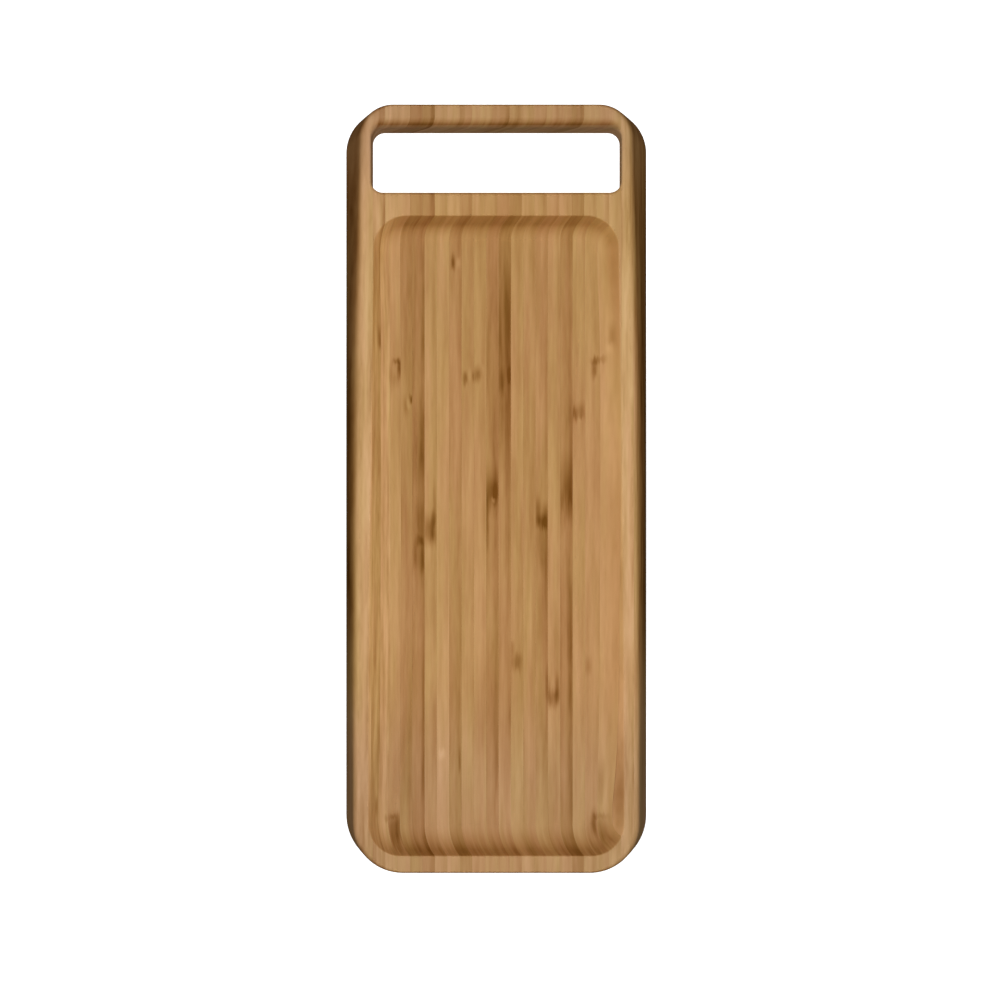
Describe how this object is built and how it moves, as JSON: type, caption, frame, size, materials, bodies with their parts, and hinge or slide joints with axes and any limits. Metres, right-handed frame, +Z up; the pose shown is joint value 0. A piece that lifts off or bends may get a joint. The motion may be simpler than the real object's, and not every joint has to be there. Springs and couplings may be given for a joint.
{
  "type": "serving tray",
  "caption": "Long bamboo serving tray laminated from leaning strips, with a shallow coved basin, inward-leaning flanks and a hand slot that leaves a grip bar at one end.",
  "frame": {"origin": "under the middle of the tray, on the surface that it stands on", "axes": "+Y along the strips towards the handle end, +Z up out of the basin, +X to the right seen from above with the handle end away"},
  "size_m": [0.151, 0.381, 0.022],
  "materials": {
    "pale_bamboo": "satin oil",
    "honey_bamboo": "satin oil",
    "rosy_bamboo": "satin oil",
    "tan_bamboo": "satin oil",
    "caramel_bamboo": "satin oil"
  },
  "bodies": {
    "root": {"left_strip_01": "pale_bamboo", "left_strip_02": "honey_bamboo", "left_strip_03": "pale_bamboo", "cut_strip_01": "honey_bamboo", "cut_strip_02": "rosy_bamboo", "cut_strip_03": "caramel_bamboo", "cut_strip_04": "honey_bamboo", "cut_strip_05": "pale_bamboo", "cut_strip_06": "tan_bamboo", "cut_strip_07": "rosy_bamboo", "cut_strip_08": "honey_bamboo", "cut_strip_09": "caramel_bamboo", "cut_strip_10": "tan_bamboo", "cut_strip_11": "honey_bamboo", "cut_strip_12": "rosy_bamboo", "cut_strip_13": "tan_bamboo", "cut_strip_14": "pale_bamboo", "cut_strip_15": "caramel_bamboo", "cut_strip_16": "pale_bamboo", "cut_strip_17": "honey_bamboo", "cut_strip_18": "pale_bamboo", "grip_block_01": "honey_bamboo", "grip_block_02": "rosy_bamboo", "grip_block_03": "caramel_bamboo", "grip_block_04": "honey_bamboo", "grip_block_05": "pale_bamboo", "grip_block_06": "tan_bamboo", "grip_block_07": "rosy_bamboo", "grip_block_08": "honey_bamboo", "grip_block_09": "caramel_bamboo", "grip_block_10": "tan_bamboo", "grip_block_11": "honey_bamboo", "grip_block_12": "rosy_bamboo", "grip_block_13": "tan_bamboo", "grip_block_14": "pale_bamboo", "grip_block_15": "caramel_bamboo", "grip_block_16": "pale_bamboo", "grip_block_17": "honey_bamboo", "grip_block_18": "pale_bamboo", "right_strip_01": "pale_bamboo", "right_strip_02": "honey_bamboo", "right_strip_03": "rosy_bamboo", "right_strip_04": "tan_bamboo"}
  },
  "joints": []
}
